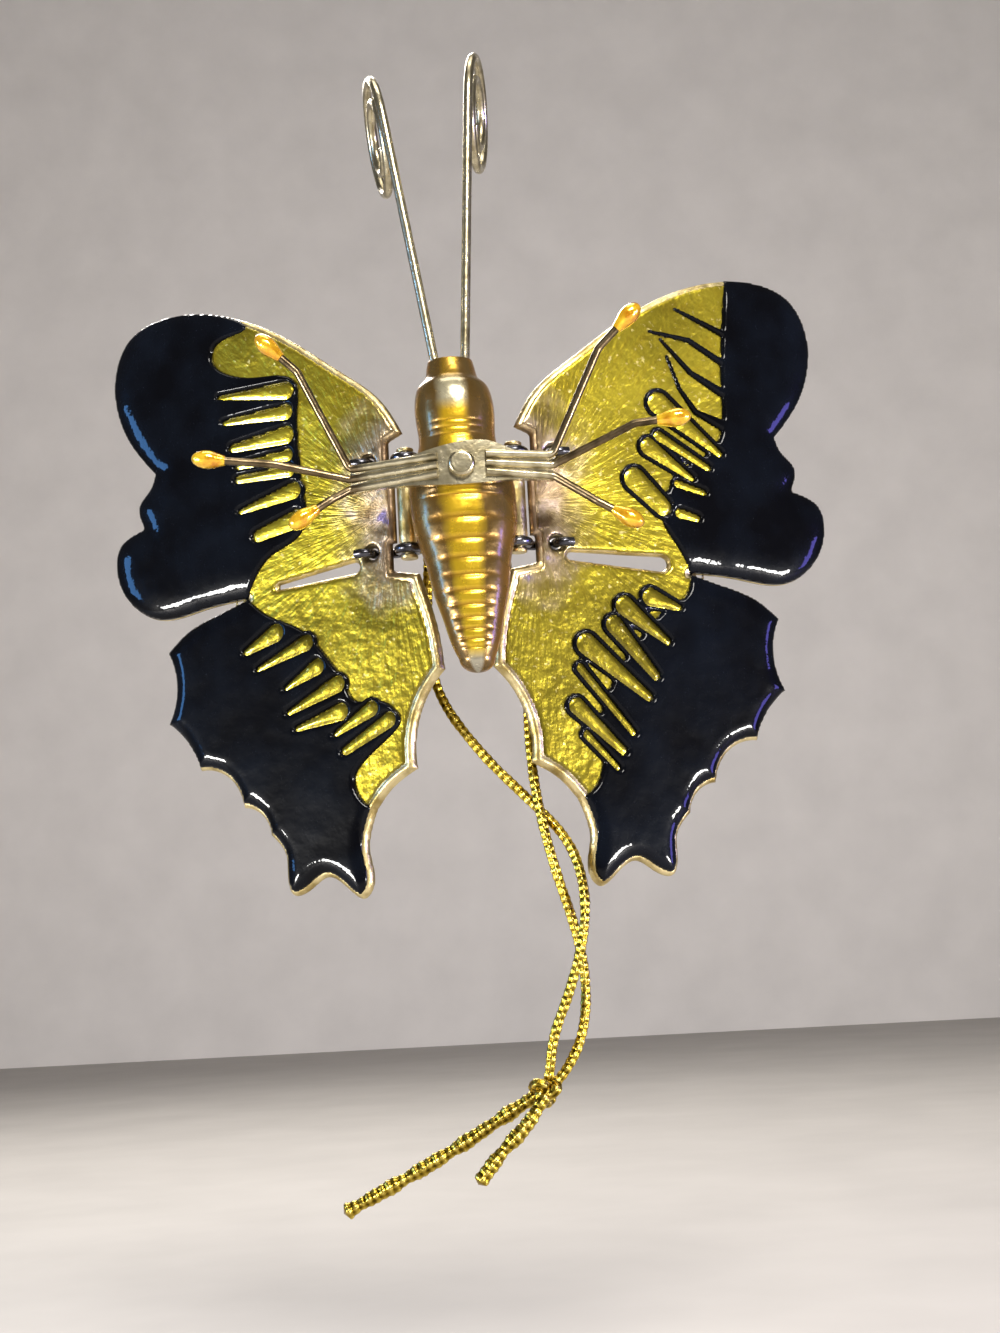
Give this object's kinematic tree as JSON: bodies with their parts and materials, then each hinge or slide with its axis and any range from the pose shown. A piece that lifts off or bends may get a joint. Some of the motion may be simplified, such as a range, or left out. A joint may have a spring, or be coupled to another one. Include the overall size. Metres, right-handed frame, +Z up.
{
  "type": "articulated butterfly ornament",
  "caption": "Enamelled metal butterfly ornament with wings hinged on wire staples, bent wire legs, curled antennae and a gold hanging cord.",
  "frame": {"origin": "centre of the hanging loop's hole on the back of the thorax", "axes": "+Z up along the hinge rods towards the head, -Y towards the underside that the picture shows, +X right in the picture"},
  "size_m": [0.0882, 0.0253, 0.1332],
  "materials": {
    "gold_metal": "brushed cast metal under and beside the enamel",
    "pale_brass": "bright pale brass",
    "dark_brass": "darkened brass wire",
    "dark_steel": "dark steel wire",
    "amber_enamel": "glossy amber enamel",
    "gold_enamel": "glossy translucent yellow enamel over brushed metal",
    "black_enamel": "thick glossy black enamel",
    "cord": "braided metallic gold thread"
  },
  "bodies": {
    "thorax": {"body": "amber_enamel", "cord_bight": "cord", "cord_knot": "cord", "cord_left_strand": "cord", "cord_long_tail": "cord", "cord_right_strand": "cord", "cord_short_tail": "cord", "hanging_loop": "pale_brass", "left_antenna": "pale_brass", "left_front_foot": "amber_enamel", "left_front_leg": "dark_brass", "left_hinge_rod": "dark_steel", "left_middle_foot": "amber_enamel", "left_middle_leg": "dark_brass", "left_rear_foot": "amber_enamel", "left_rear_leg": "dark_brass", "leg_rivet": "pale_brass", "leg_strap": "pale_brass", "right_antenna": "pale_brass", "right_front_foot": "amber_enamel", "right_front_leg": "dark_brass", "right_hinge_rod": "dark_steel", "right_middle_foot": "amber_enamel", "right_middle_leg": "dark_brass", "right_rear_foot": "amber_enamel", "right_rear_leg": "dark_brass"},
    "left_wing": {"left_back_gold_enamel": "gold_enamel", "left_forewing_back_enamel": "black_enamel", "left_forewing_black_enamel": "black_enamel", "left_gold_enamel": "gold_enamel", "left_hindwing_back_enamel": "black_enamel", "left_hindwing_black_enamel": "black_enamel", "left_lower_staple": "dark_steel", "left_upper_staple": "dark_steel", "left_wing": "gold_metal"},
    "right_wing": {"right_back_gold_enamel": "gold_enamel", "right_forewing_back_enamel": "black_enamel", "right_forewing_black_enamel": "black_enamel", "right_gold_enamel": "gold_enamel", "right_hindwing_back_enamel": "black_enamel", "right_hindwing_black_enamel": "black_enamel", "right_lower_staple": "dark_steel", "right_upper_staple": "dark_steel", "right_wing": "gold_metal"}
  },
  "joints": [
    {"name": "left_wing_flap", "type": "hinge", "parent": "thorax", "child": "left_wing", "pos_m": [-0.0063, -0.0025, -0.004], "axis": [0, 0, -1], "range_deg": [-30, 38]},
    {"name": "right_wing_flap", "type": "hinge", "parent": "thorax", "child": "right_wing", "pos_m": [0.0063, -0.0025, -0.004], "axis": [0, 0, 1], "range_deg": [-30, 38]}
  ]
}
